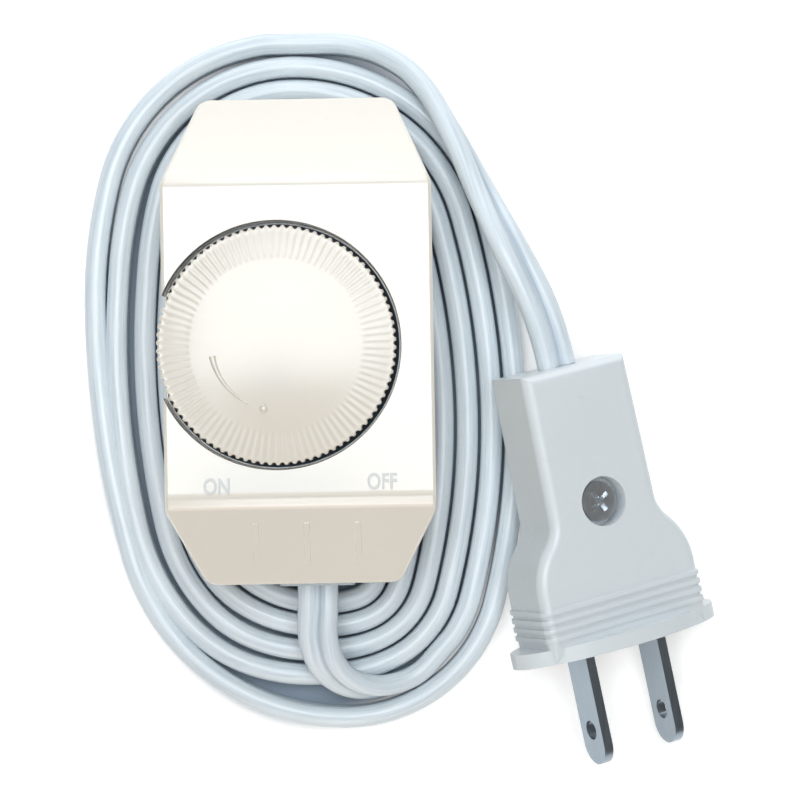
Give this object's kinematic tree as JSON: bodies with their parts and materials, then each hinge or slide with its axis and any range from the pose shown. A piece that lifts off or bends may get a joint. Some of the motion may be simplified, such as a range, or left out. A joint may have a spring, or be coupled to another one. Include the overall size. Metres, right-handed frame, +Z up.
{
  "type": "lamp dimmer",
  "caption": "Corded lamp dimmer: a white case with sloped ends and a flush fluted dial, lying on its coiled flat twin cord, with a flat two-blade plug and a lamp outlet in its end.",
  "frame": {"origin": "middle of the dimmer's own box, case and dial, without its free cord and plug", "axes": "+Z up out of the dial's face, +Y from the cord's end to the lamp outlet's end, +X to the right seen from above with the outlet away"},
  "size_m": [0.0969, 0.1135, 0.0354],
  "materials": {
    "case": "glossy moulded white",
    "dial": "glossy moulded white",
    "outlet": "satin moulded white",
    "grommet": "soft satin grey",
    "cord": "satin flexible vinyl, pale blue grey",
    "cores": "satin flexible vinyl",
    "plug": "satin moulded grey",
    "blade": "nickel plated, brushed",
    "steel": "zinc plated",
    "brass": "plain sheet",
    "board": "paper laminate",
    "sink": "plain sheet",
    "dark_part": "moulded epoxy",
    "capacitor": "dipped epoxy",
    "resistor": "painted ceramic",
    "ferrite": "sintered ferrite",
    "copper": "enamelled copper wire",
    "fuse_glass": "clear tube",
    "track": "phenolic with carbon track"
  },
  "bodies": {
    "housing": {"upper_housing": "case", "lower_housing": "case", "housing_screws": "steel", "potentiometer_case": "steel", "potentiometer_bushing": "brass", "potentiometer_nut": "steel", "resistance_track": "track", "potentiometer_terminals": "brass", "switch_case": "dark_part", "switch_pivot": "brass", "switch_contact": "brass", "circuit_board": "board", "board_screws": "steel", "triac": "dark_part", "triac_screw": "steel", "heat_sink": "sink", "diac": "fuse_glass", "resistors": "resistor", "timing_capacitor": "capacitor", "noise_capacitor": "capacitor", "choke_core": "ferrite", "choke_winding": "copper", "fuse": "fuse_glass", "outlet_block": "outlet", "left_outlet_contact": "brass", "right_outlet_contact": "brass", "cord_grommet": "grommet", "clamped_cord": "cord", "cord_clamp": "case", "clamp_screws": "steel", "lead_live": "cores", "lead_neutral": "cores", "lead_load": "cores", "cord_exit_tail": "cord", "cord_coil": "cord", "cord_plug_tail": "cord", "plug_front_shell": "plug", "plug_back_shell": "plug", "plug_screw": "steel", "plug_nut": "steel", "plug_left_blade": "blade", "plug_right_blade": "blade", "plug_terminal_screws": "steel", "plug_cores": "cores"},
    "dial": {"dial": "dial", "dial_shaft": "steel", "wiper_rotor": "dark_part", "wiper": "brass", "switch_cam": "dark_part"},
    "switch_arm": {"switch_arm": "brass"}
  },
  "joints": [
    {"name": "dial_turn", "type": "hinge", "parent": "housing", "child": "dial", "pos_m": [-0.0032, -0.0007, 0.0133], "axis": [0, 0, 1], "range_deg": [-248, 52]},
    {"name": "switch_arm_flip", "type": "hinge", "parent": "housing", "child": "switch_arm", "pos_m": [-0.0041, -0.0069, -0.0073], "axis": [0, 0, 1], "range_deg": [0, 20]}
  ]
}
